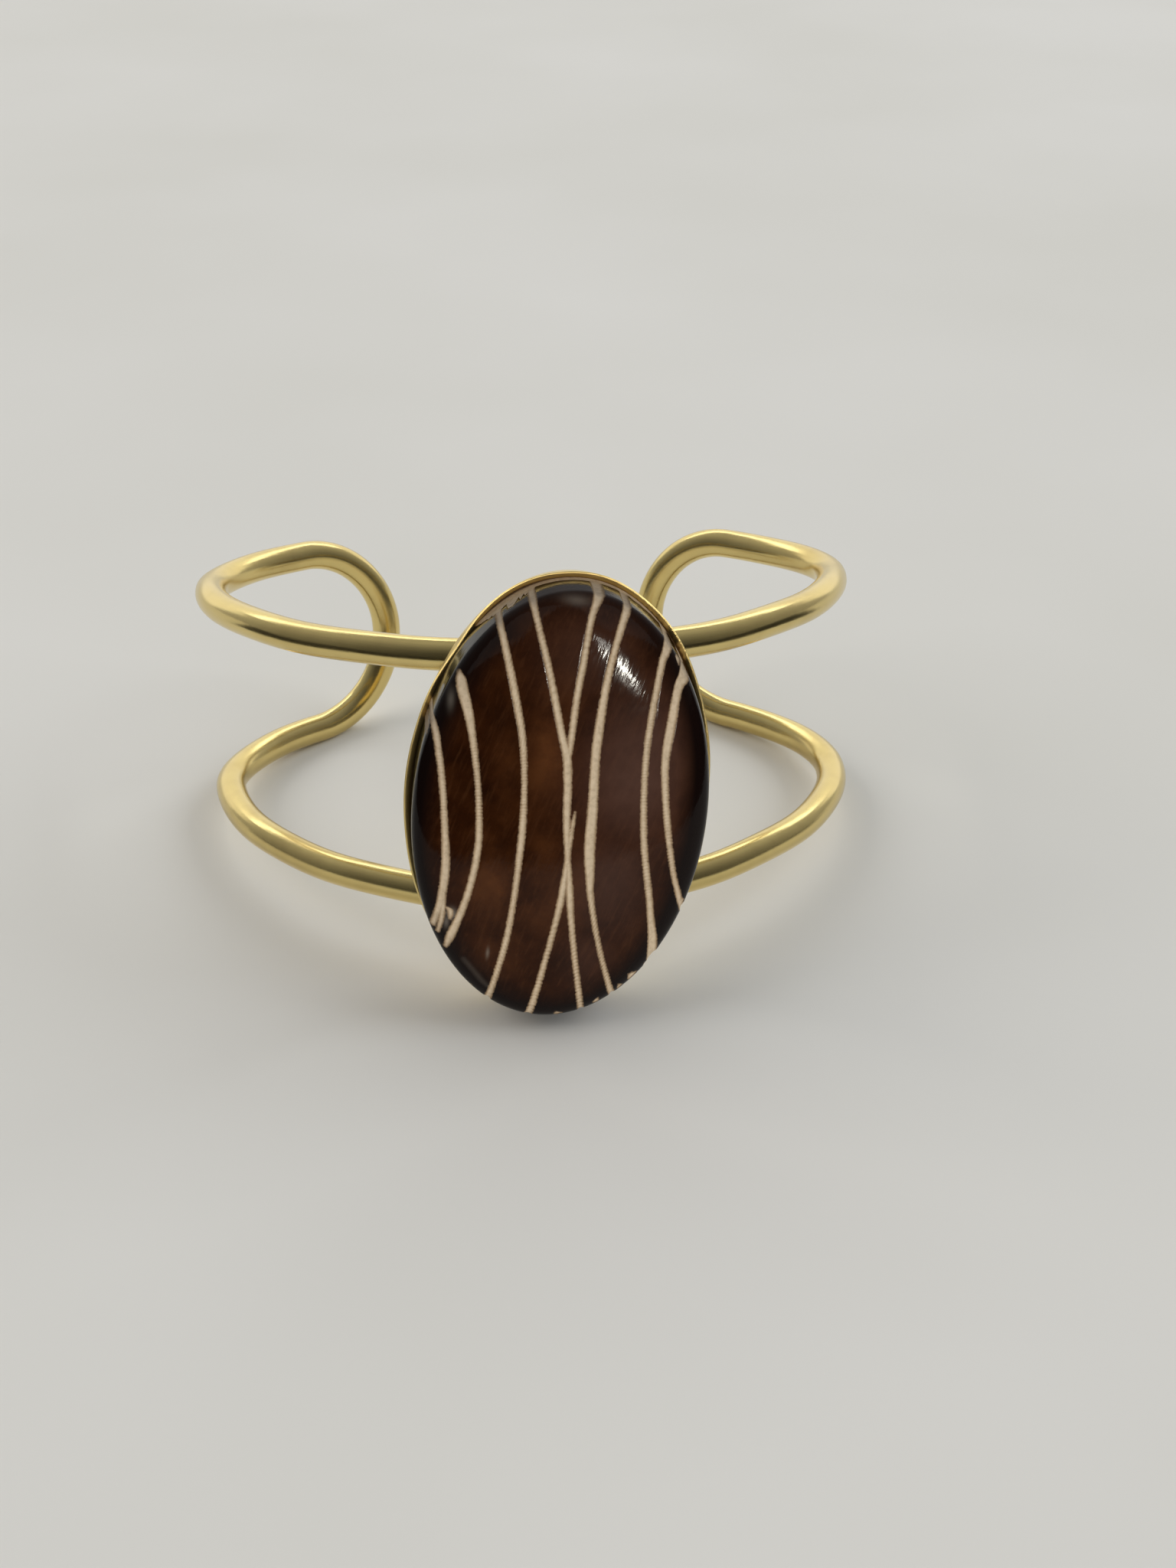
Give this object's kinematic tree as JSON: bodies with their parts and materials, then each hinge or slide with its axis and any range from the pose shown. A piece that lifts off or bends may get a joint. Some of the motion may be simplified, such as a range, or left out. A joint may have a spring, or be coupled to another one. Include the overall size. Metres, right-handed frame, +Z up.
{
  "type": "cuff bangle",
  "caption": "Open cuff bangle of parallel round wires with a tall oval setting that holds a domed dyed bone stone.",
  "frame": {"origin": "on the surface that the bangle lies on, under the middle of its bounding box", "axes": "+X from the left to the right of the setting as it faces the viewer, +Y from the setting to the back opening, +Z up as the bangle lies on its side"},
  "size_m": [0.0656, 0.0608, 0.04],
  "materials": {
    "brass": "hand polished, with fine wear scratches",
    "dyed_bone": "polished dark dyed bone with pale undyed stripes"
  },
  "bodies": {
    "root": {"brass_cuff": "brass", "bone_stone": "dyed_bone"}
  },
  "joints": []
}
